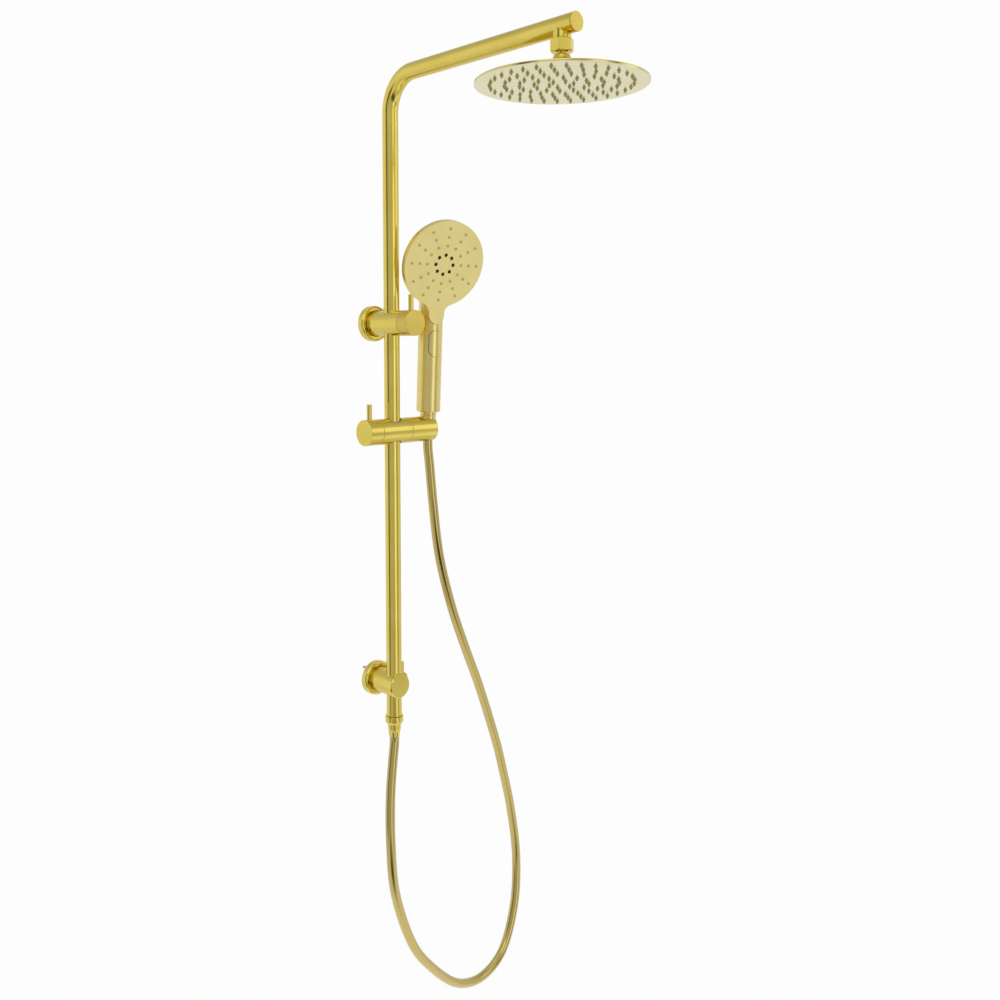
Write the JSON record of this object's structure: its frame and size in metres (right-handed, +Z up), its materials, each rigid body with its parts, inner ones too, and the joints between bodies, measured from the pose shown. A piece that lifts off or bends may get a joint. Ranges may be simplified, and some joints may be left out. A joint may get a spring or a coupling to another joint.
{
  "type": "rainfall shower column",
  "caption": "Wall-held shower column: bent riser with an overhead rain head, diverter bracket, sliding handset holder, hand shower and hanging hose.",
  "frame": {"origin": "centre of the lower bracket's wall face", "axes": "+Z up along the riser, +Y into the wall, -Y out into the room, +X to the side of the hand shower"},
  "size_m": [0.3787, 0.482, 1.3881],
  "materials": {
    "brushed_gold": "finely brushed gold plate on brass",
    "plated_abs": "satin gold plate on moulded ABS",
    "hose_pvc": "smooth clear PVC over a gold foil wrap",
    "head_face": "polished gold-plated stainless steel",
    "raw_brass": "turned brass",
    "steel": "bright zinc-plated steel",
    "black_rubber": "moulded rubber",
    "silicone": "soft olive silicone",
    "grey_nylon": "moulded grey nylon",
    "white_acetal": "moulded acetal"
  },
  "bodies": {
    "root": {"arm_pipe": "brushed_gold", "arm_end_cap": "brushed_gold", "arm_outlet_boss": "brushed_gold", "ball_connector": "brushed_gold", "connector_washer": "black_rubber", "diverter_post": "brushed_gold", "upper_flange": "brushed_gold", "inlet_nipple": "raw_brass", "inlet_seal": "black_rubber", "diverter_seal_upper": "black_rubber", "diverter_seal_lower": "black_rubber", "diverter_cartridge": "white_acetal", "riser_pipe": "brushed_gold", "outlet_post": "brushed_gold", "lower_flange": "brushed_gold", "lower_wall_boss": "raw_brass", "lower_wall_screw_top": "steel", "lower_wall_screw_bottom": "steel", "outlet_grub_screw": "steel", "outlet_seal_upper": "black_rubber", "outlet_seal_lower": "black_rubber", "outlet_stub": "brushed_gold", "hose_coupling_nut": "brushed_gold", "hose_washer_lower": "black_rubber", "hose_insert_lower": "raw_brass", "hose_ferrule_lower": "brushed_gold", "hose": "hose_pvc"},
    "head_seat": {"ball_seat": "white_acetal"},
    "rain_head": {"ball_retainer": "brushed_gold", "head_top_shell": "brushed_gold", "head_face_plate": "head_face", "head_nozzle_mat": "silicone"},
    "diverter": {"diverter_spindle": "raw_brass", "diverter_knob": "brushed_gold", "diverter_lever": "brushed_gold"},
    "stop_valve": {"stop_valve_spindle": "raw_brass", "stop_valve_knob": "brushed_gold", "stop_valve_lever": "brushed_gold"},
    "liner": {"slider_liner": "grey_nylon"},
    "slider": {"slider_body": "brushed_gold", "lock_shoe": "white_acetal", "holder_friction_washer": "white_acetal", "holder_screw": "steel"},
    "lock": {"lock_screw": "steel", "lock_knob": "brushed_gold", "lock_lever": "brushed_gold"},
    "holder": {"handset_holder": "brushed_gold"},
    "handset": {"handset_body": "plated_abs", "check_valve": "white_acetal", "spray_face": "plated_abs", "spray_nozzle_mat": "silicone", "spray_distributor": "white_acetal", "button_spring": "steel", "hose_cone_nut": "plated_abs", "hose_insert_upper": "raw_brass", "handset_washer": "black_rubber"},
    "button": {"mode_button": "plated_abs"}
  },
  "joints": [
    {"name": "head_tilt_x", "type": "hinge", "parent": "root", "child": "head_seat", "pos_m": [0, -0.352, 0.8], "axis": [1, 0, 0], "range_deg": [-10, 10]},
    {"name": "head_tilt_y", "type": "hinge", "parent": "head_seat", "child": "rain_head", "pos_m": [0, -0.352, 0.8], "axis": [0, 1, 0], "range_deg": [-10, 10]},
    {"name": "diverter_turn", "type": "hinge", "parent": "root", "child": "diverter", "pos_m": [0, -0.0845, 0.516], "axis": [0, -1, 0], "range_deg": [0, 90]},
    {"name": "stop_valve_turn", "type": "hinge", "parent": "root", "child": "stop_valve", "pos_m": [0.0235, -0.0335, 0], "axis": [1, 0, 0], "range_deg": [0, 90]},
    {"name": "slider_height", "type": "slide", "parent": "root", "child": "liner", "axis": [0, 0, 1], "range_m": [-0.02, 0.105], "deforming": ["hose"]},
    {"name": "slider_swivel", "type": "hinge", "parent": "liner", "child": "slider", "pos_m": [0, -0.044, 0.366], "axis": [0, 0, 1], "range_deg": [0, 20]},
    {"name": "lock_turn", "type": "hinge", "parent": "slider", "child": "lock", "pos_m": [-0.0405, -0.044, 0.366], "axis": [1, 0, 0], "range_deg": [0, 90]},
    {"name": "holder_tilt", "type": "hinge", "parent": "slider", "child": "holder", "pos_m": [0.045, -0.044, 0.366], "axis": [1, 0, 0], "range_deg": [0, 15]},
    {"name": "handset_lift", "type": "slide", "parent": "holder", "child": "handset", "axis": [0, -0.0454, 0.999], "range_m": [0, 0.06]},
    {"name": "mode_press", "type": "slide", "parent": "handset", "child": "button", "axis": [0.225, 0.9734, 0.0442], "range_m": [0, 0.0015], "stiffness_N_per_m": 400, "springref_m": -0.001, "deforming": ["button_spring"]}
  ]
}
